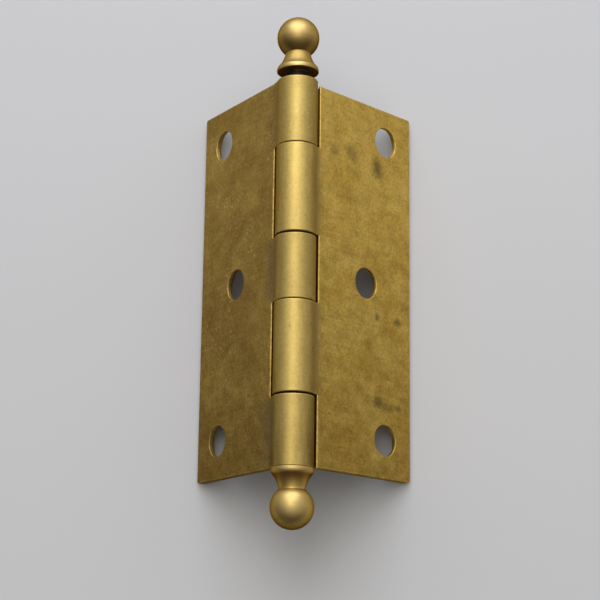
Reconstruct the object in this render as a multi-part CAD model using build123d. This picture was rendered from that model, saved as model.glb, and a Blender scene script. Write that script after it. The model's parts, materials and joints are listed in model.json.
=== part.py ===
from build123d import *
from math import acos, asin, degrees, isclose, radians, sin, sqrt, tan
import os

# Butt hinge of rolled sheet brass with a loose pin and ball tips. Sizes are in millimetres and degrees.
# The pin axis runs along Y, and the hinge stands like a tent on the long edges of its two leaves.

# Overall sizes
barrel_length = 76.2
leaf_reach = 30.0  # from the pin axis to the long edge of a leaf
leaf_angle = 77.0  # between the inner faces of the two leaves at rest

# Sheet, pin and rolled barrel
sheet_thickness = 1.59
pin_diameter = 4.66
pin_clearance = 0.05  # radial running clearance of the pin in the knuckles
leaf_set = 0.77  # how far the back of a leaf lies below the top of the barrel
set_bend_radius = 10.0  # hollow bend where the back of a leaf runs up into the barrel
seam_gap = 0.25  # between the end of the roll and the inner face of its leaf

# Knuckles, of which the two on the door leaf take the length that the other three leave
end_knuckle_length = 13.5
middle_knuckle_length = 12.8
knuckle_play = 0.5  # the gaps above and below a door knuckle together
door_leaf_lift = 0.13  # the door leaf has ridden up by this much of its play
door_leaf_trim = 1.0  # the door leaf is this much shorter than the barrel
notch_gap = 0.33  # between a notched leaf edge and the knuckle that turns in the notch

# Screw holes
hole_diameter = 6.1
hole_land = 0.5  # straight wall between the countersink and the rounded edge at the back
countersink_angle = 90.0
end_hole_from_edge = 7.5
end_hole_from_end = 7.6
middle_hole_from_edge = 13.25

# Edges of the sheet
leaf_corner_radius = 0.4
edge_round = 0.2

# Ball tips, stacked up from the face that seats on the barrel
flange_overhang = 0.13  # all round past the barrel
flange_edge_round = 0.2  # of the flange's edge at the seat
flange_band = 0.3  # straight rim above that edge
shoulder_radius = 0.9  # of the round that runs from the rim of the flange into the cone
shoulder_turn = 50.0
cone_height = 2.59
cone_hollow = 0.2  # deepest bow of the side of the cone in from straight
neck_diameter = 5.1
neck_land = 0.25
ball_diameter = 8.3

# Pin, its spigot in the top tip, and the plug of the bottom tip
pin_raise = 1.75  # the pin has ridden up by this much at rest
spigot_diameter = 3.0
spigot_length = 4.0
spigot_end_gap = 0.3
plug_length = 5.0
pin_end_gap = 0.5  # between the pin and the plug with the pin pushed home
point_chamfer = 0.6

# Sizes that follow from those
bore_radius = pin_diameter / 2 + pin_clearance
barrel_radius = bore_radius + sheet_thickness
back_height = barrel_radius - leaf_set  # back of a leaf above the plane through the pin axis
inner_height = back_height - sheet_thickness
bend_reach = barrel_radius + set_bend_radius
bend_angle = degrees(acos((back_height + set_bend_radius) / bend_reach))
bend_foot = bend_reach * sin(radians(bend_angle))
door_span = (barrel_length - 2 * end_knuckle_length - middle_knuckle_length) / 2
door_spans = [
    (end_knuckle_length, end_knuckle_length + door_span),
    (barrel_length - end_knuckle_length - door_span, barrel_length - end_knuckle_length),
]
hole_radius = hole_diameter / 2
countersink_depth = sheet_thickness - hole_land - edge_round
countersink_radius = hole_radius + countersink_depth * tan(radians(countersink_angle / 2))
hole_places = [  # out along the leaf and up the barrel
    (leaf_reach - end_hole_from_edge, end_hole_from_end),
    (leaf_reach - middle_hole_from_edge, barrel_length / 2),
    (leaf_reach - end_hole_from_edge, barrel_length - end_hole_from_end),
]
leaf_slope = 90 - leaf_angle / 2
flange_radius = barrel_radius + flange_overhang
spigot_radius = spigot_diameter / 2
pin_seat = barrel_length + pin_raise

# Tools of the model
cut_margin = 1.0  # a cutter runs this far past the face that it cuts
same_place = 0.0001


def rod(radius, low, high):
    """Plain round bar along Y from low to high."""
    return Pos(0, (low + high) / 2, 0) * Cylinder(radius, high - low, rotation=(90, 0, 0))


def leaf_section():
    """Section of a rolled leaf, pin axis at zero: X runs out along the leaf and Z out of its back."""
    bend_centre = (bend_foot, back_height + set_bend_radius)
    roll_start = 90 - bend_angle
    roll_end_height = inner_height - seam_gap
    sides = [
        (barrel_radius, set_bend_radius),
        (bore_radius, set_bend_radius + sheet_thickness),
    ]
    with BuildSketch(Plane.XZ) as section:
        with BuildLine():
            roll_ends = []
            for roll_radius, bend_radius in sides:
                roll_sweep = 360 + degrees(asin(roll_end_height / roll_radius)) - roll_start
                roll = CenterArc((0, 0), roll_radius, roll_start, roll_sweep)
                bend = CenterArc(bend_centre, bend_radius, 270, -bend_angle)
                Line(bend @ 0, (leaf_reach, (bend @ 0).Y))
                roll_ends.append(roll @ 1)
            Line(*roll_ends)
            Line((leaf_reach, inner_height), (leaf_reach, back_height))
        make_face()
    return section.sketch


def screw_hole(along, up):
    """Cutter for one screw hole of a flat leaf, countersunk from the inner face."""
    seat = Plane(origin=(along, up, inner_height), z_dir=(0, 0, -1))
    straight = Cylinder(hole_radius, 2 * (sheet_thickness + cut_margin))
    below_seat = (Align.CENTER, Align.CENTER, Align.MAX)
    countersink = Cone(hole_radius, countersink_radius, countersink_depth, align=below_seat)
    return seat * (straight + countersink)


def rims(sheet, flat_height, curve_radii):
    """Edges where one side of a leaf ends, without the smooth lines between its flat, bend and roll."""
    side_edges = []
    for face in sheet.faces():
        if face.geom_type == GeomType.CYLINDER:
            on_side = any(isclose(face.radius, radius, abs_tol=same_place) for radius in curve_radii)
        else:
            on_side = isclose(face.center().Z, flat_height, abs_tol=same_place)
        if on_side:
            side_edges += face.edges()
    return [edge for edge in side_edges if sum(edge.is_same(other) for other in side_edges) == 1]


def leaf(low, high, notches):
    """A flat leaf from low to high up the barrel, with its roll cut away on each notched stretch."""
    sheet = Pos(0, low, 0) * extrude(leaf_section(), amount=low - high)
    for notch_low, notch_high in notches:
        sheet -= rod(barrel_radius + notch_gap, notch_low, notch_high)
    corners = sheet.edges().filter_by(Axis.Z).group_by(Axis.X)[-1]
    sheet = fillet(corners, leaf_corner_radius)
    for along, up in hole_places:
        sheet -= screw_hole(along, up)
    back_rims = rims(sheet, back_height, (set_bend_radius, barrel_radius))
    inner_rims = rims(sheet, inner_height, (set_bend_radius + sheet_thickness, bore_radius))
    return fillet(back_rims + inner_rims, edge_round)


def frame_leaf():
    """Leaf with the two end knuckles and the middle one, sloping down towards -X."""
    flat = leaf(0, barrel_length, door_spans)
    return mirror(Rot(0, leaf_slope, 0) * flat, about=Plane.YZ)


def door_leaf():
    """Leaf with the two knuckles that turn between those of the frame leaf, sloping down towards +X."""
    low = door_leaf_lift
    high = barrel_length - door_leaf_trim + door_leaf_lift
    stops = [low - cut_margin]
    for span_low, span_high in door_spans:
        stops.append(span_low + knuckle_play / 2 + door_leaf_lift)
        stops.append(span_high - knuckle_play / 2 + door_leaf_lift)
    stops.append(high + cut_margin)
    flat = leaf(low, high, zip(stops[0::2], stops[1::2]))
    return Rot(0, leaf_slope, 0) * flat


def ball_tip():
    """Turned tip standing along Y on a seat at zero: flange with a round shoulder, cone, neck and ball."""
    edge_centre = (flange_radius - flange_edge_round, flange_edge_round)
    shoulder_centre = (flange_radius - shoulder_radius, flange_edge_round + flange_band)
    neck_radius = neck_diameter / 2
    neck_low = shoulder_centre[1] + shoulder_radius * sin(radians(shoulder_turn)) + cone_height
    ball_radius = ball_diameter / 2
    ball_start = -degrees(acos(neck_radius / ball_radius))
    ball_height = neck_low + neck_land + sqrt(ball_radius**2 - neck_radius**2)
    with BuildPart() as tip:
        with BuildSketch():
            with BuildLine():
                edge = CenterArc(edge_centre, flange_edge_round, -90, 90)
                shoulder = CenterArc(shoulder_centre, shoulder_radius, 0, shoulder_turn)
                cone = SagittaArc(shoulder @ 1, (neck_radius, neck_low), cone_hollow)
                ball = CenterArc((0, ball_height), ball_radius, ball_start, 90 - ball_start)
                Line((0, 0), edge @ 0)
                Line(edge @ 1, shoulder @ 0)
                Line(cone @ 1, ball @ 0)
                Line(ball @ 1, (0, 0))
            make_face()
        revolve(axis=Axis.Y)
    return tip.part


def top_ball_tip():
    """Tip on the raised pin, with a blind hole for the pin's spigot."""
    tip = ball_tip() - rod(spigot_radius, -cut_margin, spigot_length + spigot_end_gap)
    return Pos(0, pin_seat, 0) * tip


def bottom_ball_tip():
    """Tip under the barrel, with a plug that is pressed into the bottom knuckle."""
    plug = rod(bore_radius, 0, plug_length)
    plug = chamfer(plug.edges().group_by(Axis.Y)[-1], point_chamfer)
    return mirror(ball_tip(), about=Plane.XZ) + plug


def hinge_pin():
    """Loose pin through the knuckles, raised, with a pointed end and a spigot for its tip."""
    shank = rod(pin_diameter / 2, plug_length + pin_end_gap + pin_raise, pin_seat)
    shank = chamfer(shank.edges().group_by(Axis.Y)[0], point_chamfer)
    return shank + rod(spigot_radius, pin_seat, pin_seat + spigot_length)


makers = (frame_leaf, door_leaf, hinge_pin, top_ball_tip, bottom_ball_tip)
pieces = {make_piece.__name__: make_piece() for make_piece in makers}

# The leaves stand on the ground, and the origin lies under the middle of the whole hinge
whole = Compound(list(pieces.values())).bounding_box()
place = Pos(0, -whole.center().Y, -whole.min.Z)
os.makedirs("parts", exist_ok=True)
for name, piece in pieces.items():
    export_step(place * piece, f"parts/{name}.step")
    print(f"{name}: {piece.volume:.1f} cubic mm, box {piece.bounding_box().size}")
print(f"pin axis {-whole.min.Z:.6f} up, foot of the barrel at Y {-whole.center().Y:.6f}")
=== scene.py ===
# %% [markdown]
# # An old brass butt hinge with ball tips
#
# The hinge is two leaves of sheet brass, rolled into knuckles round a loose steel pin, with a
# turned ball at each end. It stands like a tent, barrel up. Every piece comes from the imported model
# in its true size and place, so this lesson only adds what a camera sees: the view, the light and
# the finishes.

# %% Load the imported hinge
import json
from math import cos, pi, radians, sin

import bpy
from mathutils import Matrix, Vector


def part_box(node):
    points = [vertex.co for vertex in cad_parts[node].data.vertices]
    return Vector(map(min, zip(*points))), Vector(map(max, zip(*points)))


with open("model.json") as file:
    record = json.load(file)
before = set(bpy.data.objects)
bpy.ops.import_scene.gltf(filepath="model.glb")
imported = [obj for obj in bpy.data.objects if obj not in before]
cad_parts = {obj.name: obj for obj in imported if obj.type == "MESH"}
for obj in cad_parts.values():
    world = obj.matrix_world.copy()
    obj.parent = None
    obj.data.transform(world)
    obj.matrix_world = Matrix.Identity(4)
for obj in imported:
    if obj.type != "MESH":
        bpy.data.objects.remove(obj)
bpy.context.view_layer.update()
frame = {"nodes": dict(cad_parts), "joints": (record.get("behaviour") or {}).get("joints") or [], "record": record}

nodes = frame["nodes"]
record = frame["record"]
mm = 0.001
print("Pieces:", ", ".join(sorted(nodes)))

# %% [markdown]
# A few measures are read from the frame and used by everything below. The joint gives the pin axis.
# The mounts on the leaf backs give the way that each back faces, and from that follows the way that
# each leaf runs out from the pin. A changed hinge then changes the finishes with it.

# %% The pin axis and the two leaves
swing = next(joint for joint in frame["joints"] if joint["name"] == "leaf_swing")
pin_axis = Vector(swing["pos_m"])
along_pin = Vector((0, 1, 0))
back_faces = {}
out_ways = {}
for mount in record["mounts"]:
    if mount["kind"] == "flat_face":
        leaf = mount["name"].removesuffix("_back")
        back_faces[leaf] = Vector(mount["axis"])
        out_ways[leaf] = along_pin.cross(back_faces[leaf])
        if out_ways[leaf].z > 0:
            out_ways[leaf].negate()
        print(leaf, "runs out along", tuple(round(part, 3) for part in out_ways[leaf]))

# %% [markdown]
# The barrel is the tube that the knuckles make together. Its foot, on the pin axis, is where places
# on the hinge are counted from, and its radius tells the barrel from the flat of a leaf. Both could
# be typed in, but the box of the frame leaf gives them, because that leaf has the two end knuckles.
# Only the thickness of the sheet doesn't show in a box.

# %% The barrel
barrel_low, barrel_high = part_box("frame_leaf")
barrel_foot = Vector((pin_axis.x, barrel_low.y, pin_axis.z))
barrel_radius = (barrel_high.z - pin_axis.z) / mm
barrel_mm = (barrel_high.y - barrel_low.y) / mm
sheet_mm = 1.6
bore_radius = barrel_radius - sheet_mm
print(f"Barrel {barrel_mm:.1f} mm long, {2 * barrel_radius:.2f} mm thick")
print(f"Bore {2 * bore_radius:.2f} mm wide")

# %% [markdown]
# The camera stands almost straight above the hinge and looks a little along the barrel. Its place
# was worked out from the leaf corners, the holes and the balls. A long lens on a full-frame sensor
# gives the slight perspective. The hinge lies turned in the picture, so the camera also rolls about
# its own line of sight.

# %% Camera
aim = Vector((1.0, -6.875, 22.4)) * mm
camera_distance = 324.4 * mm
camera_azimuth = radians(-21.32)
camera_elevation = radians(75.17)
camera_roll = radians(21.23)
lens_mm = 102.5

sight = Vector((sin(camera_azimuth), cos(camera_azimuth), 0)) * cos(camera_elevation)
sight.z = -sin(camera_elevation)
camera = bpy.data.objects.new("camera", bpy.data.cameras.new("camera"))
bpy.context.scene.collection.objects.link(camera)
camera.data.lens = lens_mm
camera.data.clip_start = 10 * mm
unrolled = sight.to_track_quat("-Z", "Y").to_matrix()
camera.matrix_world = (unrolled @ Matrix.Rotation(-camera_roll, 3, "Z")).to_4x4()
camera.location = aim - camera_distance * sight
bpy.context.scene.camera = camera
print("Camera at", tuple(round(part / mm, 1) for part in camera.location), "mm")

# %% [markdown]
# Colours are written as the hex values that a paint program shows. Blender's shaders work in linear
# light, so one function converts them.

# %% From a hex colour to linear light
def linear(hex_colour):
    """An sRGB hex colour as the linear RGBA that a shader socket takes."""
    channels = [int(hex_colour[i : i + 2], 16) / 255 for i in (1, 3, 5)]
    return (*[c / 12.92 if c <= 0.04045 else ((c + 0.055) / 1.055) ** 2.4 for c in channels], 1.0)


print("Mid grey #808080 is", round(linear("#808080")[0], 3), "in linear light")

# %% [markdown]
# A material is a tree of nodes. One small function adds a node, sets its properties, fills its
# inputs with values or with links from earlier nodes, and hands back its output, so that a tree
# reads from top to bottom. Two settings come back often enough to have a name: a Map Range that
# eases in and out, and a Mix that mixes colours.

# %% One function that adds a node
smooth = {"interpolation_type": "SMOOTHSTEP"}
in_colour = {"data_type": "RGBA"}


def add(tree, kind, inputs, **settings):
    """Adds a shader node and returns its first live output.

    Inputs go by name, or by number among the live ones.
    """
    node = tree.nodes.new("ShaderNode" + kind)
    for name, value in settings.items():
        setattr(node, name, value)
    live = [socket for socket in node.inputs if socket.enabled]
    for key, value in inputs.items():
        socket = live[key] if isinstance(key, int) else next(s for s in live if s.name == key)
        if isinstance(value, bpy.types.NodeSocket):
            tree.links.new(value, socket)
        else:
            socket.default_value = value
    return next(socket for socket in node.outputs if socket.enabled)


def new_material(name):
    """An empty material with a Principled shader: the material, its tree and that shader."""
    material = bpy.data.materials.new(name)
    material.use_nodes = True
    return material, material.node_tree, material.node_tree.nodes["Principled BSDF"]


print("Kinds of shader node:", sum(kind.startswith("ShaderNode") for kind in dir(bpy.types)))

# %% [markdown]
# The floor is a plain pale sheet, so nothing competes with the brass. It is large, because satin
# metal shows what lies around it, and a small floor would leave a dark edge in the leaves.

# %% Floor
floor_size = 30.0
bpy.ops.mesh.primitive_plane_add(size=floor_size)
floor = bpy.context.object
floor.name = "floor"
# Matt paper has no gloss: the eye sees an even pale grey and soft shadows
pale_paper, tree, shader = new_material("matt pale paper")
shader.inputs["Base Color"].default_value = linear("#C6C6C8")
shader.inputs["Roughness"].default_value = 0.9
shader.inputs["Specular IOR Level"].default_value = 0.2
floor.data.materials.append(pale_paper)
print(f"Floor {floor_size:.0f} m wide")

# %% [markdown]
# The light is that of a room with one wide window beyond the top tip, which makes the highlights on
# the balls, and a strip of lit ceiling above, which makes the long one on the barrel. Both are soft
# rectangular lamps. Their power is worked out from how bright their faces should look, so a lamp
# can change size without changing the level. Daylight from the window is a little cooler than the
# light of the room.

# %% Window and ceiling
def soft_lamp(name, colour, elevation, distance, width, height, brightness):
    """A rectangular lamp beyond the top tip, facing the ground under the hinge."""
    way = Vector((0, cos(elevation), sin(elevation)))
    lamp = bpy.data.lights.new(name, "AREA")
    lamp.shape = "RECTANGLE"
    lamp.color = linear(colour)[:3]
    lamp.size, lamp.size_y = width, height
    lamp.energy = brightness * pi * width * height
    lamp_object = bpy.data.objects.new(name, lamp)
    bpy.context.scene.collection.objects.link(lamp_object)
    lamp_object.location = way * distance
    lamp_object.rotation_euler = (-way).to_track_quat("-Z", "Y").to_euler()
    print(f"{name}: {lamp.energy:.2f} W")


soft_lamp(
    "window",
    colour="#E6EEFF",
    elevation=radians(34),
    distance=0.45,
    width=0.50,
    height=0.38,
    brightness=2.1,
)
soft_lamp(
    "ceiling",
    colour="#FFFCF6",
    elevation=radians(75),
    distance=0.70,
    width=0.28,
    height=0.46,
    brightness=1.8,
)

# %% [markdown]
# The window lights the ceiling and the walls round it. The room gets dimmer to both sides, and
# dimmest behind the camera, so the near sides of the balls stay dark. A picture of a room could
# light the hinge too, but satin brass blurs it so much that two slow changes with the direction are
# enough: one towards the window and one to the sides.

# %% Room
bright_side = Vector((0.20, 0.75, 0.62)).normalized()
darkest, lightest = 0.12, 1.18
towards_window = {"From Min": -0.4, "From Max": 1.0, "To Min": darkest, "To Max": lightest}
side_level = 0.65
towards_sides = {"From Min": 0.1, "From Max": 0.8, "To Min": 1.0, "To Max": side_level}

room = bpy.data.worlds.new("dim room")
room.use_nodes = True
tree = room.node_tree
direction = add(tree, "TexCoord", {})
facing = add(tree, "VectorMath", {0: direction, 1: tuple(bright_side)}, operation="DOT_PRODUCT")
level = add(tree, "MapRange", {"Value": facing, **towards_window}, **smooth)
sideways = add(tree, "SeparateXYZ", {0: direction})
sideways = add(tree, "Math", {0: sideways}, operation="ABSOLUTE")
to_sides = add(tree, "MapRange", {"Value": sideways, **towards_sides}, **smooth)
level = add(tree, "Math", {0: level, 1: to_sides}, operation="MULTIPLY")
background = tree.nodes["Background"]
background.inputs["Color"].default_value = linear("#FFFCF6")
tree.links.new(level, background.inputs["Strength"])
bpy.context.scene.world = room
bpy.context.scene.view_settings.view_transform = "Standard"
print("Room from", darkest, "to", lightest)

# %% [markdown]
# ## Rolled sheet brass, dulled by age
#
# The leaves were cut from cold-rolled brass sheet and curled round a mandrel. Bare brass starts
# bright yellow and turns olive brown as it oxidises, more on one leaf than on the other, and that
# leaf is also painted darker as painted shade. All of it is metal, so the eye reads the finish from
# colour, roughness and a little unevenness, and each of those is made in layers. The layers could
# be painted on an image and wrapped round the leaves.
# Here they are worked out from where a point lies on its leaf, in millimetres. That needs no
# unwrapping, and a stain stays on its leaf when the hinge opens.

# %% Where a point lies on its leaf
pattern_shift = {"frame_leaf": (0, 0, 200), "door_leaf": (0, 0, 400)}  # no two patterns alike


def from_foot(tree):
    """Millimetres from the foot of the barrel on the pin axis.

    With it come the height up the pin and the distance from the pin axis.
    """
    coordinates = add(tree, "TexCoord", {}).node.outputs["Object"]
    place = add(
        tree,
        "VectorMath",
        {0: coordinates, 1: (1 / mm,) * 3, 2: tuple(-barrel_foot / mm)},
        operation="MULTIPLY_ADD",
    )
    up = add(tree, "SeparateXYZ", {0: place}).node.outputs["Y"]
    across = add(tree, "VectorMath", {0: place, 1: (1, 0, 1)}, operation="MULTIPLY")
    radius = add(tree, "VectorMath", {0: across}, operation="LENGTH")
    return place, up, radius


def on_leaf(tree, place, leaf):
    """Place in the leaf's pattern, then how far out along it, out of its back and above the pin."""
    pattern = add(tree, "VectorMath", {0: place, 1: pattern_shift[leaf]}, operation="ADD")
    out_way, back_way = tuple(out_ways[leaf]), tuple(back_faces[leaf])
    out = add(tree, "VectorMath", {0: place, 1: out_way}, operation="DOT_PRODUCT")
    back = add(tree, "VectorMath", {0: place, 1: back_way}, operation="DOT_PRODUCT")
    rise = add(tree, "SeparateXYZ", {0: place}).node.outputs["Z"]
    return pattern, out, back, rise


print(f"Foot of the barrel at Y {barrel_foot.y / mm:.2f} mm")

# %% [markdown]
# Oxide grows unevenly. Broad clouds show where the sheet was touched or damp, and smaller blotches in
# them are browner or cleaner than the sheet round them. Towards its foot the sheet is painted darker,
# a painted shade for the light that falls off there.
# One noise would give patches of one size, so there is a noise for each width, mixed between a
# fresh, a dull and a brown colour. Each goes through a Map Range, whose window says which of its
# values count.

# %% Tarnish
cloud_mm = 11.0
cloud_window = {"From Min": 0.32, "From Max": 0.68}
blotch_mm = 2.8
blotch_shares = {"From Min": 0.25, "From Max": 0.75, "To Min": -0.22, "To Max": 0.38}
foot_mm = 55.0  # how far up the leaf the painted shade at the foot reaches
foot_share = 0.5


def tarnish(tree, pattern, up, shades):
    """Colour of the oxidised sheet, and the mask of its fresher clouds."""
    cloud_noise = {"Scale": 1 / cloud_mm, "Detail": 3.0, "Roughness": 0.55}
    cloud = add(tree, "TexNoise", {"Vector": pattern, **cloud_noise})
    cloud = add(tree, "MapRange", {"Value": cloud, **cloud_window}, **smooth)
    dull, fresh, brown = (linear(shades[shade]) for shade in ("dull", "fresh", "brown"))
    colour = add(tree, "Mix", {"Factor": cloud, "A": dull, "B": fresh}, **in_colour)
    blotch_noise = {"Scale": 1 / blotch_mm, "Detail": 5.0, "Roughness": 0.62}
    blotch = add(tree, "TexNoise", {"Vector": pattern, **blotch_noise})
    blotch = add(tree, "MapRange", {"Value": blotch, **blotch_shares}, clamp=False)
    # painted shade: darker towards the foot, added to the brown of the blotches
    foot_window = {"From Min": foot_mm, "From Max": 0.0, "To Max": foot_share}
    foot = add(tree, "MapRange", {"Value": up, **foot_window})
    blotch = add(tree, "Math", {0: blotch, 1: foot}, operation="ADD")
    browned = {"Factor": blotch, "A": colour, "B": brown}
    colour = add(tree, "Mix", browned, clamp_factor=False, **in_colour)
    return colour, cloud


print(f"Clouds {cloud_mm} mm and blotches {blotch_mm} mm wide")

# %% [markdown]
# The barrel stands proud and is rubbed by hands and cloths, so its crest is clean brass, and it is
# painted paler still as a painted highlight. Its flanks are browner from tarnish and darker as painted
# shade, darkest at the foot, a painted shade for the light that falls off there. A cloth goes up and
# down the barrel and leaves faint streaks. The barrel could have a material of its own, but it is one
# sheet with its leaf, and a mask lets the one finish fade into the other. The distance from the pin
# axis finds the barrel, and the height above the axis finds its crest.

# %% Rubbed barrel
barrel_share = 0.8  # how much of the crest and flank colour, with its painted light, covers the sheet's own
barrel_window = {"From Min": barrel_radius + 0.7, "From Max": barrel_radius + 0.05}
crest_window = {"From Min": 0.35 * barrel_radius, "From Max": barrel_radius}
streak_mm = 1.3
streak_length_mm = 7.0
streak_shares = {"From Min": 0.3, "From Max": 0.7, "To Min": -0.2, "To Max": 0.2}
flank_foot_mm = 20.0  # how far up the barrel the painted shade at the foot of its flanks reaches


def barrel_wear_and_painted_light(tree, pattern, colour, up, rise, radius, shades):
    """The colour with a rubbed crest and tarnished flanks, a painted highlight on the crest and painted shade on
    the flanks, and the masks of barrel and crest.
    """
    on_barrel = {"Value": radius, **barrel_window, "To Max": barrel_share}
    on_barrel = add(tree, "MapRange", on_barrel)
    # crest: rubbed brass with a painted highlight
    crest = add(tree, "MapRange", {"Value": rise, **crest_window}, **smooth)
    along_barrel = (1 / streak_mm, 1 / streak_length_mm, 1 / streak_mm)
    squeezed = add(tree, "Mapping", {"Vector": pattern, "Scale": along_barrel})
    streaks = add(tree, "TexNoise", {"Vector": squeezed, "Scale": 1.0, "Detail": 2.0})
    streaks = add(tree, "MapRange", {"Value": streaks, **streak_shares})
    crest = add(tree, "Math", {0: crest, 1: streaks}, operation="ADD", use_clamp=True)
    # painted shade: the flanks darker towards the foot
    foot = add(tree, "MapRange", {"Value": up, "From Min": flank_foot_mm, "From Max": 0.0})
    flank, brown, rubbed_and_lit = (linear(shades[shade]) for shade in ("flank", "brown", "crest"))
    flank = add(tree, "Mix", {"Factor": foot, "A": flank, "B": brown}, **in_colour)
    # rubbed crest with a painted highlight, over tarnished flanks with painted shade
    rubbed = add(tree, "Mix", {"Factor": crest, "A": flank, "B": rubbed_and_lit}, **in_colour)
    colour = add(tree, "Mix", {"Factor": on_barrel, "A": colour, "B": rubbed}, **in_colour)
    crest = add(tree, "Math", {0: crest, 1: on_barrel}, operation="MULTIPLY")
    return colour, on_barrel, crest


print(f"Barrel masks up to {barrel_radius:.2f} mm from the pin axis")

# %% [markdown]
# In the hollow where a leaf bends into its own knuckles nothing rubs, and the sheet stays brownish
# grey with oxide. It is also painted darker there, a painted shade in the bend. Ambient Occlusion
# finds deep creases, but this hollow is too shallow for it. It is a strip beside each knuckle, so
# two distances make its mask: how far out along the leaf a point lies, and how far up the pin. The
# clouds of the tarnish keep it uneven.

# %% The hollow beside the knuckles
hollows = {  # foot and top of each knuckle, and how much oxide and painted shade the hollow beside it gets
    "frame_leaf": [(0.0, 13.5, 0.65), (31.7, 44.5, 0.65), (62.7, 76.2, 0.35)],
    "door_leaf": [(13.5, 31.7, 0.5), (44.5, 62.7, 0.4)],
}
hollow_start = {"From Min": -0.3, "From Max": 1.6}
hollow_reach_mm = {"frame_leaf": 6.4, "door_leaf": 5.2}
hollow_fade_mm = 2.6
past_knuckle_mm, before_knuckle_mm = 0.3, 1.2  # where the strip fades at the end of a knuckle
hollow_uneven = {"To Min": 1.0, "To Max": 0.5}


def hollow_mask(tree, leaf, out, up, cloud):
    """Mask of the strip where a leaf bends into its knuckles."""
    reach = hollow_reach_mm[leaf]
    hollow_end = {"From Min": reach, "From Max": reach - hollow_fade_mm}
    beside = add(tree, "MapRange", {"Value": out, **hollow_start}, **smooth)
    near = add(tree, "MapRange", {"Value": out, **hollow_end}, **smooth)
    strip = add(tree, "Math", {0: beside, 1: near}, operation="MULTIPLY")
    level = 0.0
    for low, high, share in hollows[leaf]:
        off = add(tree, "Math", {0: up, 1: (low + high) / 2}, operation="SUBTRACT")
        off = add(tree, "Math", {0: off}, operation="ABSOLUTE")
        half = (high - low) / 2
        ends = {"From Min": half + past_knuckle_mm, "From Max": half - before_knuckle_mm}
        here = add(tree, "MapRange", {"Value": off, **ends, "To Max": share})
        level = add(tree, "Math", {0: here, 1: level}, operation="MAXIMUM")
    uneven = add(tree, "MapRange", {"Value": cloud, **hollow_uneven})
    strip = add(tree, "Math", {0: strip, 1: uneven}, operation="MULTIPLY")
    return add(tree, "Math", {0: strip, 1: level}, operation="MULTIPLY")


print({leaf: len(hollows[leaf]) for leaf in hollows}, "hollows")

# %% [markdown]
# The inner faces lay against wood, so they are duller and browner than the backs. The countersinks
# in them were cut after rolling and show a brighter, lathe-like ring round each hole. Old oil has
# gone black in the bore of the barrel. The mounts of the record say where the holes and the backs
# of the leaves are.

# %% Places of the holes and the backs
screw_places = {leaf: [] for leaf in out_ways}
back_height = {}
for mount in record["mounts"]:
    from_axis = (Vector(mount["pos_m"]) - barrel_foot) / mm
    if mount["kind"] == "bore":
        leaf = mount["name"].split("_")[0] + "_leaf"
        screw_places[leaf].append((from_axis.dot(out_ways[leaf]), from_axis.y))
    else:
        leaf = mount["name"].removesuffix("_back")
        back_height[leaf] = from_axis.dot(back_faces[leaf])
for leaf, places in screw_places.items():
    print(leaf, [tuple(round(part, 1) for part in place) for place in places])

# %% [markdown]
# Each of these faces could get a material of its own, but then the mesh would need a list of which
# face has which. A point's place tells as much. It is on the inner side when it lies more than half
# the sheet below the back. The dull brown keeps to the flat of the leaf, the bright cut to the cone
# of each countersink and the black oil to the wall of the bore.

# %% Inner faces, countersinks and bore
wood_brown, cut_brass, black_oil = "#6A5228", "#C2A254", "#221A10"
inner_fade_mm = 0.4
flat_window = {"From Min": 4.0, "From Max": 6.0, "To Max": 0.6}  # out from the pin
countersink_mm = 7.9
cut_fade_mm = 0.05
cut_share = 0.7
oil_window = {"From Min": bore_radius + 0.25, "From Max": bore_radius, "To Max": 0.85}
far_off_mm = 99.0


def hidden_side(tree, colour, leaf, out, up, back, radius):
    """The colour with a dull inner face, bright countersinks and a black bore.

    With it comes the mask of the inner side.
    """
    deep = back_height[leaf] - sheet_mm / 2
    inner_window = {"From Min": deep, "From Max": deep - inner_fade_mm}
    inner = add(tree, "MapRange", {"Value": back, **inner_window})
    flat = add(tree, "MapRange", {"Value": out, **flat_window})
    dull = add(tree, "Math", {0: inner, 1: flat}, operation="MULTIPLY")
    colour = add(tree, "Mix", {"Factor": dull, "A": colour, "B": linear(wood_brown)}, **in_colour)
    here = add(tree, "CombineXYZ", {0: out, 1: up})
    nearest = far_off_mm
    for screw_out, screw_up in screw_places[leaf]:
        hole = (screw_out, screw_up, 0)
        far = add(tree, "VectorMath", {0: here, 1: hole}, operation="DISTANCE")
        nearest = add(tree, "Math", {0: far, 1: nearest}, operation="MINIMUM")
    cut_edge = countersink_mm / 2
    cut_window = {"From Min": cut_edge + cut_fade_mm, "From Max": cut_edge - cut_fade_mm}
    cut = add(tree, "MapRange", {"Value": nearest, **cut_window})
    below_window = {"From Min": deep + inner_fade_mm, "From Max": deep, "To Max": cut_share}
    below = add(tree, "MapRange", {"Value": back, **below_window})
    cut = add(tree, "Math", {0: cut, 1: below}, operation="MULTIPLY")
    colour = add(tree, "Mix", {"Factor": cut, "A": colour, "B": linear(cut_brass)}, **in_colour)
    oil = add(tree, "MapRange", {"Value": radius, **oil_window})
    colour = add(tree, "Mix", {"Factor": oil, "A": colour, "B": linear(black_oil)}, **in_colour)
    return colour, inner


print(f"Countersinks {countersink_mm} mm wide, inner side below half of {sheet_mm} mm")

# %% [markdown]
# A close look at old sheet shows its grain. The crystals of the metal tarnish unlike each other and
# give a fine mottle, and cold rolling leaves fine lines. The sheet was curled the way it was
# rolled, so they run out along the leaf and round the barrel. Crystals and lines are both some
# 0.05 mm wide, too fine to show, so they are drawn six to ten times as coarse.

# %% Grain
mottle_mm = 0.5
mottle_shares = {"To Min": 0.5, "To Max": 0.22}  # on the flat sheet and on the rubbed barrel
line_mm = 0.3
line_length_mm = 14.0
line_shares = {"To Min": 0.16, "To Max": 0.05}
line_height = 0.5  # beside the mottle's


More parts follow.
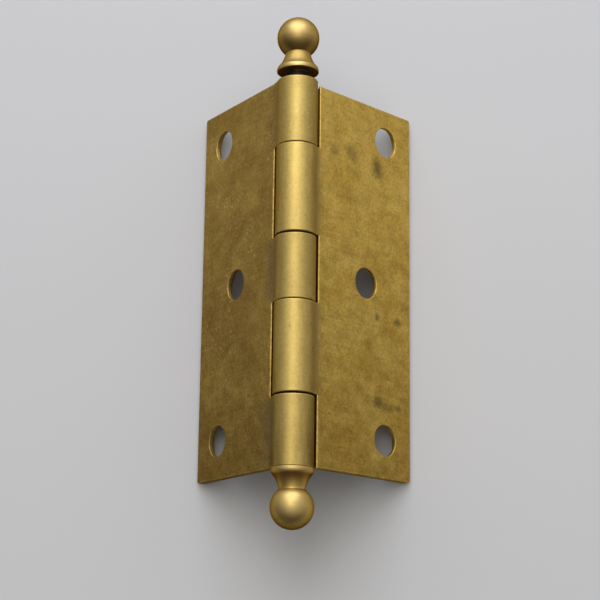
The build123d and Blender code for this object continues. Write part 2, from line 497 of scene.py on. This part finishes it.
def grained(tree, pattern, colour, on_barrel):
    """The colour with mottle and rolling lines in it, and the height of both."""
    mottle_noise = {"Scale": 1 / mottle_mm, "Detail": 2.0, "Roughness": 0.6}
    mottle = add(tree, "TexNoise", {"Vector": pattern, **mottle_noise})
    across_pin = (1 / line_length_mm, 1 / line_mm, 1 / line_length_mm)
    squeezed = add(tree, "Mapping", {"Vector": pattern, "Scale": across_pin})
    lines = add(tree, "TexNoise", {"Vector": squeezed, "Scale": 1.0, "Detail": 2.0})
    for grain, shares in ((mottle, mottle_shares), (lines, line_shares)):
        share = add(tree, "MapRange", {"Value": on_barrel, "From Max": barrel_share, **shares})
        laid_over = {"Factor": share, "A": colour, "B": grain}
        colour = add(tree, "Mix", laid_over, blend_type="OVERLAY", **in_colour)
    height = add(tree, "Math", {0: lines, 1: line_height, 2: mottle}, operation="MULTIPLY_ADD")
    return colour, height


print(f"Mottle {mottle_mm} mm wide, rolling lines {line_mm} mm apart")

# %% [markdown]
# Where the oxide has been rubbed through, the sheet sparkles in small bright flecks, and where dirt
# sits in a pit there is a dark speck. A Voronoi texture scatters dots, but all of one kind. The
# peaks of a fine noise come in uneven sizes and shapes, as real flecks do. The flecks keep to
# patches, and they are fainter on the barrel and towards the foot.

# %% Flecks and specks
patch_mm = 9.0
patch_window = {"From Min": 0.42, "From Max": 0.62}
fleck_mm = 0.55
fleck_peaks = {"From Min": 0.63, "From Max": 0.72}
flecks_on_barrel = {"To Min": 1.0, "To Max": 0.3}
flecks_at_foot = {"From Min": 4.0, "From Max": 40.0, "To Min": 0.3}
speck_mm = 0.7
speck_peaks = {"From Min": 0.68, "From Max": 0.76, "To Max": 0.55}
speck_brown = "#3E3018"


def flecks_and_specks(tree, pattern, colour, up, on_barrel, fleck_share, bright):
    """The colour with rubbed flecks and dirty specks laid over it, and the mask of the specks."""
    patch = add(tree, "TexNoise", {"Vector": pattern, "Scale": 1 / patch_mm, "Detail": 2.0})
    patch = {"Value": patch, **patch_window, "To Max": fleck_share}
    patch = add(tree, "MapRange", patch, **smooth)
    fleck = add(tree, "TexNoise", {"Vector": pattern, "Scale": 1 / fleck_mm, "Detail": 1.0})
    fleck = add(tree, "MapRange", {"Value": fleck, **fleck_peaks})
    fleck = add(tree, "Math", {0: fleck, 1: patch}, operation="MULTIPLY")
    off_barrel = add(tree, "MapRange", {"Value": on_barrel, **flecks_on_barrel})
    off_foot = add(tree, "MapRange", {"Value": up, **flecks_at_foot})
    for fainter in (off_barrel, off_foot):
        fleck = add(tree, "Math", {0: fleck, 1: fainter}, operation="MULTIPLY")
    colour = add(tree, "Mix", {"Factor": fleck, "A": colour, "B": linear(bright)}, **in_colour)
    speck_noise = {"Scale": 1 / speck_mm, "Detail": 2.0, "Roughness": 0.7}
    speck = add(tree, "TexNoise", {"Vector": pattern, **speck_noise})
    speck = add(tree, "MapRange", {"Value": speck, **speck_peaks})
    dirty = {"Factor": speck, "A": colour, "B": linear(speck_brown)}
    return add(tree, "Mix", dirty, **in_colour), speck


print(f"Flecks {fleck_mm} mm and specks {speck_mm} mm wide")

# %% [markdown]
# The door leaf has a few small dark smudges, left where something damp stood. A noise would put
# them anywhere, so each has its own place on the leaf, and a noise only bends its outline so that
# it isn't a plain round spot.

# %% Stains
stain_grey = "#57523A"
stain_core_mm = 0.2
bend_mm = 1.4
bend_shift = {"To Min": -1.5, "To Max": 1.5}  # millimetres along the leaf
door_stains = [  # out along the leaf, up the pin, radius and strength
    (20.0, 63.1, 2.1, 0.65),
    (20.0, 62.0, 2.3, 0.70),
    (18.7, 62.2, 1.6, 0.35),
    (11.8, 64.0, 2.4, 0.40),
    (13.0, 63.3, 2.0, 0.45),
    (7.2, 63.3, 2.0, 0.35),
    (20.2, 31.8, 1.2, 0.60),
    (26.2, 31.8, 1.2, 0.60),
    (20.5, 14.8, 1.8, 0.65),
    (22.4, 14.3, 1.3, 0.35),
    (24.2, 14.2, 1.3, 0.35),
    (26.3, 14.3, 1.4, 0.50),
]


def stained(tree, pattern, colour, out, up, inner, stains):
    """The colour with a few small smudges on the back of a leaf, and their mask."""
    bend = add(tree, "TexNoise", {"Vector": pattern, "Scale": 1 / bend_mm, "Detail": 3.0})
    bend = add(tree, "MapRange", {"Value": bend, **bend_shift})
    out = add(tree, "Math", {0: out, 1: bend}, operation="ADD")
    here = add(tree, "CombineXYZ", {0: out, 1: up})
    mask = 0.0
    for stain_out, stain_up, stain_mm, strength in stains:
        middle = (stain_out, stain_up, 0)
        far = add(tree, "VectorMath", {0: here, 1: middle}, operation="DISTANCE")
        spot_window = {"From Min": stain_mm, "From Max": stain_core_mm, "To Max": strength}
        spot = add(tree, "MapRange", {"Value": far, **spot_window}, **smooth)
        mask = add(tree, "Math", {0: spot, 1: mask}, operation="MAXIMUM")
    mask = add(tree, "Math", {0: mask, 1: inner}, operation="SUBTRACT", use_clamp=True)
    colour = add(tree, "Mix", {"Factor": mask, "A": colour, "B": linear(stain_grey)}, **in_colour)
    return colour, mask


print(len(door_stains), "stains on the door leaf")

# %% [markdown]
# Edges are knocked and rubbed first, and show as thin bright lines. The pointiness of a mesh could
# find them, but it depends on how finely the mesh is divided. The Ambient Occlusion node, turned
# inside, doesn't: near an edge, rays sent into the metal soon come out again, and on an open face
# they don't. Handling also leaves a few hairline scratches on the slant, which are a noise
# stretched far along one direction.

# %% Worn edges and scratches
edge_reach = 0.55 * mm
edge_window = {"From Min": 0.86, "From Max": 0.52}
edge_break_mm = 0.9
edge_kept = {"From Min": 0.40, "From Max": 0.60, "To Min": 0.15}
scratch_mm = 0.35
scratch_length_mm = 11.0
scratch_slant = (radians(35), radians(20), radians(50))
scratch_peaks = {"From Min": 0.70, "From Max": 0.78, "To Max": 0.2}
occlusion_rays = 16


def wear(tree, pattern):
    """Mask of the edges, broken up a little by noise, and of faint scratches."""
    inside = add(
        tree,
        "AmbientOcclusion",
        {"Distance": edge_reach},
        inside=True,
        only_local=True,
        samples=occlusion_rays,
    )
    edge = add(tree, "MapRange", {"Value": inside.node.outputs["AO"], **edge_window})
    kept = add(tree, "TexNoise", {"Vector": pattern, "Scale": 1 / edge_break_mm, "Detail": 3.0})
    kept = add(tree, "MapRange", {"Value": kept, **edge_kept})
    edge = add(tree, "Math", {0: edge, 1: kept}, operation="MULTIPLY")
    stretch = (1 / scratch_length_mm, 1 / scratch_mm, 1 / scratch_length_mm)
    slanted = {"Vector": pattern, "Rotation": scratch_slant, "Scale": stretch}
    slanted = add(tree, "Mapping", slanted)
    scratch = add(tree, "TexNoise", {"Vector": slanted, "Scale": 1.0, "Detail": 1.0})
    scratch = add(tree, "MapRange", {"Value": scratch, **scratch_peaks})
    return add(tree, "Math", {0: edge, 1: scratch}, operation="MAXIMUM")


print(f"Edges wear within {edge_reach / mm} mm")

# %% [markdown]
# Now the layers are put together, from the sheet itself up to the wear on top. Oxide is rough and
# rubbed brass is smoother, so the same masks steer the roughness. Mottle, rolling lines and pits
# also give a very low bump, about a hundredth of a millimetre, which breaks up the highlights as on
# real sheet.

# %% Aged rolled brass on the leaves
oxide_tint = "#988A70"  # old oxide swallows part of the light that falls on it at a slant
edge_brass = "#DCBE70"
leaf_roughness = {"To Min": 0.54, "To Max": 0.46}  # where dull and where fresh
leaf_bump = {"Strength": 0.6, "Distance": 0.01 * mm}


def leaf_finish(leaf, shades, fleck_share, stains):
    """Aged rolled brass for one leaf."""
    # Old rolled brass is a satin metal to the eye, olive where it is dull and yellow where rubbed
    material, tree, shader = new_material("aged rolled brass, " + leaf.replace("_", " "))
    place, up, radius = from_foot(tree)
    pattern, out, back, rise = on_leaf(tree, place, leaf)
    colour, cloud = tarnish(tree, pattern, up, shades)
    colour, on_barrel, crest = barrel_wear_and_painted_light(tree, pattern, colour, up, rise, radius, shades)
    hollow = hollow_mask(tree, leaf, out, up, cloud)
    # the hollow: grey oxide and painted shade
    hollow_grey = linear(shades["hollow"])
    colour = add(tree, "Mix", {"Factor": hollow, "A": colour, "B": hollow_grey}, **in_colour)
    colour, inner = hidden_side(tree, colour, leaf, out, up, back, radius)
    colour, height = grained(tree, pattern, colour, on_barrel)
    colour, speck = flecks_and_specks(
        tree, pattern, colour, up, on_barrel, fleck_share, shades["fleck"]
    )
    stain = 0.0
    if stains:
        colour, stain = stained(tree, pattern, colour, out, up, inner, stains)
    worn = wear(tree, pattern)
    colour = add(tree, "Mix", {"Factor": worn, "A": colour, "B": linear(edge_brass)}, **in_colour)
    tree.links.new(colour, shader.inputs["Base Color"])
    shader.inputs["Metallic"].default_value = 1.0
    shader.inputs["Specular Tint"].default_value = linear(oxide_tint)
    roughness = add(tree, "MapRange", {"Value": cloud, **leaf_roughness})
    for mask, change in ((height, 0.05), (crest, -0.06), (stain, 0.10), (worn, -0.08)):
        changed = {0: mask, 1: change, 2: roughness}
        roughness = add(tree, "Math", changed, operation="MULTIPLY_ADD")
    tree.links.new(roughness, shader.inputs["Roughness"])
    height = add(tree, "Math", {0: speck, 1: -1.0, 2: height}, operation="MULTIPLY_ADD")
    bump = add(tree, "Bump", {**leaf_bump, "Height": height})
    tree.links.new(bump, shader.inputs["Normal"])
    nodes[leaf].data.materials.clear()
    nodes[leaf].data.materials.append(material)
    print(material.name, "with", len(tree.nodes), "nodes")


# %% [markdown]
# The two leaves share every layer and differ in their shades. The frame leaf is browner and full of
# flecks, and the door leaf is yellower and has the stains. The frame leaf's shades are darker partly
# from more tarnish and partly as painted shade, since that leaf faces away from the light.

# %% Shades of the two leaves
# darker partly from tarnish and partly as painted shade
frame_shades = {
    "fresh": "#BEA25E",
    "dull": "#AA8C4F",
    "brown": "#765E34",
    "crest": "#C0A862",
    "flank": "#A88C50",
    "hollow": "#82735A",
    "fleck": "#DCC488",
}
door_shades = {
    "fresh": "#DCBC64",
    "dull": "#CAA852",
    "brown": "#866A30",
    "crest": "#C8B06A",
    "flank": "#9C8046",
    "hollow": "#9A8660",
    "fleck": "#E4C878",
}
leaf_finish("frame_leaf", frame_shades, fleck_share=0.8, stains=[])
leaf_finish("door_leaf", door_shades, fleck_share=0.4, stains=door_stains)

# %% [markdown]
# ## Turned brass tips
#
# The tips were turned from bar on a lathe and are handled every time the pin is drawn, so they are
# paler and cleaner than the sheet. Two close colours in a soft cloud make the brass, and the height
# above the pin axis makes the tops paler still, which is a painted highlight.

# %% Pale turned brass
tip_cloud_mm = 4.0
tip_cloud_window = {"From Min": 0.35, "From Max": 0.65}
# the third colour is a painted highlight on the tops of the tips
tip_dull, tip_fresh, tip_highlight_brass = "#B4944C", "#C8A85E", "#C6AE74"
highlight_window = {"From Min": 1.6, "From Max": 4.1, "To Max": 0.7}  # above the pin axis


def turned_colour(tree, place):
    """Colour of turned brass, paler on top as a painted highlight, and the mask of its fresher clouds."""
    cloud_noise = {"Scale": 1 / tip_cloud_mm, "Detail": 4.0, "Roughness": 0.6}
    cloud = add(tree, "TexNoise", {"Vector": place, **cloud_noise})
    cloud = add(tree, "MapRange", {"Value": cloud, **tip_cloud_window}, **smooth)
    clouded = {"Factor": cloud, "A": linear(tip_dull), "B": linear(tip_fresh)}
    colour = add(tree, "Mix", clouded, **in_colour)
    rise = add(tree, "SeparateXYZ", {0: place}).node.outputs["Z"]
    # painted highlight: paler the higher a point lies above the pin axis
    painted_highlight = add(tree, "MapRange", {"Value": rise, **highlight_window}, **smooth)
    colour = add(tree, "Mix", {"Factor": painted_highlight, "A": colour, "B": linear(tip_highlight_brass)}, **in_colour)
    return colour, cloud


print(f"Clouds on the tips {tip_cloud_mm} mm wide")

# %% [markdown]
# The lower half of each ball is painted darker and browner. This is painted shade, on the half that
# faces away from the window. The height up the pin makes that mask, and the distance from the
# middle of the ball keeps it off the neck.

# %% Painted shade on the lower halves of the balls
top_low, top_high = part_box("top_ball_tip")
bottom_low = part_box("bottom_ball_tip")[0]
ball_radius = (top_high.x - top_low.x) / 2 / mm
top_seat = (top_low.y - barrel_foot.y) / mm
top_ball = (top_high.y - barrel_foot.y) / mm - ball_radius
bottom_ball = (bottom_low.y - barrel_foot.y) / mm + ball_radius
ball_window = {"From Min": ball_radius + 0.25, "From Max": ball_radius + 0.05}
ball_shade_fade_mm = 3.2
# the brown of the painted shade on the lower halves of the balls
ball_shade_brown = "#6A522A"


def paint_ball_shade(tree, place, up, colour, ball_up, dirt_and_shade):
    """The colour with painted shade on the lower half of a ball."""
    middle = (0, ball_up, 0)
    off_middle = add(tree, "VectorMath", {0: place, 1: middle}, operation="DISTANCE")
    on_ball = add(tree, "MapRange", {"Value": off_middle, **ball_window})
    start = ball_up + dirt_and_shade["painted_ball_shade from"]
    below = {"From Min": start, "From Max": start - ball_shade_fade_mm, "To Max": dirt_and_shade["painted_ball_shade"]}
    # painted shade: darker below the middle of each ball
    painted_ball_shade = add(tree, "MapRange", {"Value": up, **below}, **smooth)
    painted_ball_shade = add(tree, "Math", {0: painted_ball_shade, 1: on_ball}, operation="MULTIPLY")
    shaded_ball = {"Factor": painted_ball_shade, "A": colour, "B": linear(ball_shade_brown)}
    return add(tree, "Mix", shaded_ball, **in_colour)


print(f"Balls {2 * ball_radius:.1f} mm thick, {bottom_ball:.1f} and {top_ball:.1f} mm up the pin")

# %% [markdown]
# The tool leaves fine rings round the axis. Real ones are some 0.1 mm apart and are drawn 0.35 mm
# apart to show. A Wave texture draws rings too, but as even as a thread. A noise that only knows
# the height up the pin and the distance from it comes out as uneven ones. Small dark pits are
# scattered between them.

# %% Rings and pits
ring_mm = 0.35
ring_share = 0.14
pit_mm = 0.5
pit_peaks = {"From Min": 0.68, "From Max": 0.76, "To Max": 0.5}
pit_brown = "#5A4420"


def ringed(tree, place, up, radius, colour):
    """The colour with rings and pits in it, and the heights of both."""
    turned = add(tree, "CombineXYZ", {0: radius, 1: up})
    rings = add(tree, "TexNoise", {"Vector": turned, "Scale": 1 / ring_mm, "Detail": 2.0})
    laid_over = {"Factor": ring_share, "A": colour, "B": rings}
    colour = add(tree, "Mix", laid_over, blend_type="OVERLAY", **in_colour)
    pit_noise = {"Scale": 1 / pit_mm, "Detail": 2.0, "Roughness": 0.7}
    pit = add(tree, "TexNoise", {"Vector": place, **pit_noise})
    pit = add(tree, "MapRange", {"Value": pit, **pit_peaks})
    colour = add(tree, "Mix", {"Factor": pit, "A": colour, "B": linear(pit_brown)}, **in_colour)
    return colour, rings, pit


print(f"Rings {ring_mm} mm apart, pits {pit_mm} mm wide")

# %% [markdown]
# The tips are darkened in three places: the crease of the neck, with dirt and painted shade, the
# cone under the flange of the bottom tip, with painted shade, and the seat of the flange, with dirt
# and painted shade. Ambient Occlusion finds the crease, because there the metal hides part of its
# own view. The other two are distances from the seat.

# %% Dirt and painted shade on the tips
crease_reach = 3.5 * mm
crease_window = {"From Min": 0.97, "From Max": 0.60}
# crease: dirt and painted shade; cone: painted shade; seat: dirt and painted shade
crease_brown, cone_brown, seat_brown = "#7E5A26", "#74481C", "#5E421C"
rim_mm = 0.8  # from the seat, where the rim of the flange has turned into its shoulder
rim_window = {"From Min": rim_mm, "From Max": rim_mm + 0.5}
cone_window = {"From Min": 3.6, "From Max": 1.6}
seat_window = {"From Min": 0.30, "From Max": 0.05}


def darken_crease_dirt_and_shade(tree, colour, share):
    """The colour with grime and painted shade in the creases of a tip, and its mask."""
    open_sky = add(
        tree,
        "AmbientOcclusion",
        {"Distance": crease_reach},
        only_local=True,
        samples=occlusion_rays,
    )
    seen = open_sky.node.outputs["AO"]
    # dirt and painted shade where the metal hides part of its own view
    crease = add(tree, "MapRange", {"Value": seen, **crease_window, "To Max": share})
    dirty = {"Factor": crease, "A": colour, "B": linear(crease_brown)}
    return add(tree, "Mix", dirty, **in_colour), crease


def darken_flange_dirt_and_shade(tree, up, colour, seat_up, dirt_and_shade):
    """The colour with painted shade on the cone, grime and painted shade on the seat of the flange, and the seat's
    mask.
    """
    off_seat = add(tree, "Math", {0: up, 1: seat_up}, operation="SUBTRACT")
    off_seat = add(tree, "Math", {0: off_seat}, operation="ABSOLUTE")
    past_rim = add(tree, "MapRange", {"Value": off_seat, **rim_window})
    # painted shade on the cone under the flange
    cone = add(tree, "MapRange", {"Value": off_seat, **cone_window, "To Max": dirt_and_shade["cone"]})
    cone = add(tree, "Math", {0: cone, 1: past_rim}, operation="MULTIPLY")
    colour = add(tree, "Mix", {"Factor": cone, "A": colour, "B": linear(cone_brown)}, **in_colour)
    # dirt and painted shade on the seat under the flange
    seat = add(tree, "MapRange", {"Value": off_seat, **seat_window, "To Max": dirt_and_shade["seat"]})
    colour = add(tree, "Mix", {"Factor": seat, "A": colour, "B": linear(seat_brown)}, **in_colour)
    return colour, seat


print(f"Creases found within {crease_reach / mm} mm")

# %% [markdown]
# The layers of a tip go together as those of a leaf did: clean brass with a painted highlight on
# top, painted shade on the lower half of the ball, the marks of the lathe, dirt and painted shade in
# the creases, worn edges, and dirt and painted shade at the flange. The top tip is drawn by hand, so
# its cone is clean, but its seat is dark with dirt and painted shade. The bottom one sits tight on
# the barrel, and most of its painted shade is on the cone. One function makes both, with the shares
# of dirt and painted shade as a table.

# %% Satin turned brass on the tips
tip_tint = "#6A5C46"  # the thin brown oxide on turned brass darkens its rims
tip_edge_brass = "#D8BC78"
tip_roughness = {"To Min": 0.46, "To Max": 0.40}  # where dull and where fresh
tip_bump = {"Strength": 0.5, "Distance": 0.015 * mm}


def tip_finish(piece, seat_up, ball_up, dirt_and_shade):
    """Satin turned brass for one tip."""
    # Satin turned brass is pale and soft to the eye, with faint rings and dark rims
    material, tree, shader = new_material("satin turned brass, " + piece.replace("_", " "))
    place, up, radius = from_foot(tree)
    colour, cloud = turned_colour(tree, place)
    colour = paint_ball_shade(tree, place, up, colour, ball_up, dirt_and_shade)
    colour, rings, pit = ringed(tree, place, up, radius, colour)
    colour, crease = darken_crease_dirt_and_shade(tree, colour, dirt_and_shade["crease"])
    worn = wear(tree, place)
    rubbed = {"Factor": worn, "A": colour, "B": linear(tip_edge_brass)}
    colour = add(tree, "Mix", rubbed, **in_colour)
    colour, seat = darken_flange_dirt_and_shade(tree, up, colour, seat_up, dirt_and_shade)
    tree.links.new(colour, shader.inputs["Base Color"])
    shader.inputs["Metallic"].default_value = 1.0
    shader.inputs["Specular Tint"].default_value = linear(tip_tint)
    roughness = add(tree, "MapRange", {"Value": cloud, **tip_roughness})
    for mask, change in ((crease, 0.10), (worn, -0.06), (seat, 0.20)):
        changed = {0: mask, 1: change, 2: roughness}
        roughness = add(tree, "Math", changed, operation="MULTIPLY_ADD")
    tree.links.new(roughness, shader.inputs["Roughness"])
    height = add(tree, "Math", {0: pit, 1: -1.0, 2: rings}, operation="MULTIPLY_ADD")
    bump = add(tree, "Bump", {**tip_bump, "Height": height})
    tree.links.new(bump, shader.inputs["Normal"])
    nodes[piece].data.materials.clear()
    nodes[piece].data.materials.append(material)
    print(material.name, "with", len(tree.nodes), "nodes")


# shares of painted shade on the ball, dirt and painted shade in the crease, painted shade on the cone, dirt and
# painted shade on the seat
top_dirt_and_shade = {"painted_ball_shade from": 0.6, "painted_ball_shade": 0.75, "crease": 0.15, "cone": 0.0, "seat": 0.85}
bottom_dirt_and_shade = {"painted_ball_shade from": -0.8, "painted_ball_shade": 0.65, "crease": 0.1, "cone": 0.75, "seat": 0.1}
tip_finish("top_ball_tip", top_seat, top_ball, top_dirt_and_shade)
tip_finish("bottom_ball_tip", 0.0, bottom_ball, bottom_dirt_and_shade)

# %% [markdown]
# ## Drawn steel pin
#
# The pin is drawn steel wire. Drawing leaves fine lines along it, and years of oil and brass dust
# have turned most of it brown black, with greyer steel where it rubs in the knuckles. Its top, under
# the flange of the top tip, is painted darkest as a painted shade. A plain grey would look new, so
# both the lines and the oil are noises stretched along the pin. Real lines are some 0.02 mm apart
# and are drawn ten times as coarse, to show.

# %% Oiled drawn steel
draw_mm = 0.2
draw_length_mm = 10.0
draw_share = 0.3
oil_mm = 4.0
oil_length_mm = 18.0
smear_window = {"From Min": 0.30, "From Max": 0.66}
top_shade_window = {"From Min": barrel_mm - 4, "From Max": barrel_mm - 1, "To Max": 0.8}
# the brown serves both the oil and the painted shade at the top of the pin
bare_steel, oil_and_shade_brown, edge_steel = "#564E42", "#241B11", "#7C776E"
pin_roughness = {"To Min": 0.34, "To Max": 0.55}  # where bare and where oiled
pin_bump = {"Strength": 0.5, "Distance": 0.01 * mm}

# Oiled drawn steel is brown black to the eye, with a dull streaky shine along the pin
oiled_steel, tree, shader = new_material("oiled drawn steel")
place, up = from_foot(tree)[:2]
stretch = (1 / draw_mm, 1 / draw_length_mm, 1 / draw_mm)
squeezed = add(tree, "Mapping", {"Vector": place, "Scale": stretch})
draw_lines = add(tree, "TexNoise", {"Vector": squeezed, "Scale": 1.0, "Detail": 2.0})
stretch = (1 / oil_mm, 1 / oil_length_mm, 1 / oil_mm)
smeared = add(tree, "Mapping", {"Vector": place, "Scale": stretch})
smear_noise = {"Scale": 1.0, "Detail": 5.0, "Roughness": 0.65}
oil = add(tree, "TexNoise", {"Vector": smeared, **smear_noise})
oil = add(tree, "MapRange", {"Value": oil, **smear_window}, **smooth)
# painted shade at the top of the pin, under the flange
shaded_top = add(tree, "MapRange", {"Value": up, **top_shade_window})
oil = add(tree, "Math", {0: oil, 1: shaded_top}, operation="MAXIMUM")
oiled_and_shaded = {"Factor": oil, "A": linear(bare_steel), "B": linear(oil_and_shade_brown)}
colour = add(tree, "Mix", oiled_and_shaded, **in_colour)
lined = {"Factor": draw_share, "A": colour, "B": draw_lines}
colour = add(tree, "Mix", lined, blend_type="OVERLAY", **in_colour)
worn = wear(tree, place)
colour = add(tree, "Mix", {"Factor": worn, "A": colour, "B": linear(edge_steel)}, **in_colour)
tree.links.new(colour, shader.inputs["Base Color"])
shader.inputs["Metallic"].default_value = 1.0
roughness = add(tree, "MapRange", {"Value": oil, **pin_roughness})
tree.links.new(roughness, shader.inputs["Roughness"])
bump = add(tree, "Bump", {**pin_bump, "Height": draw_lines})
tree.links.new(bump, shader.inputs["Normal"])
nodes["hinge_pin"].data.materials.clear()
nodes["hinge_pin"].data.materials.append(oiled_steel)
print(oiled_steel.name, "with", len(tree.nodes), "nodes")

# %% [markdown]
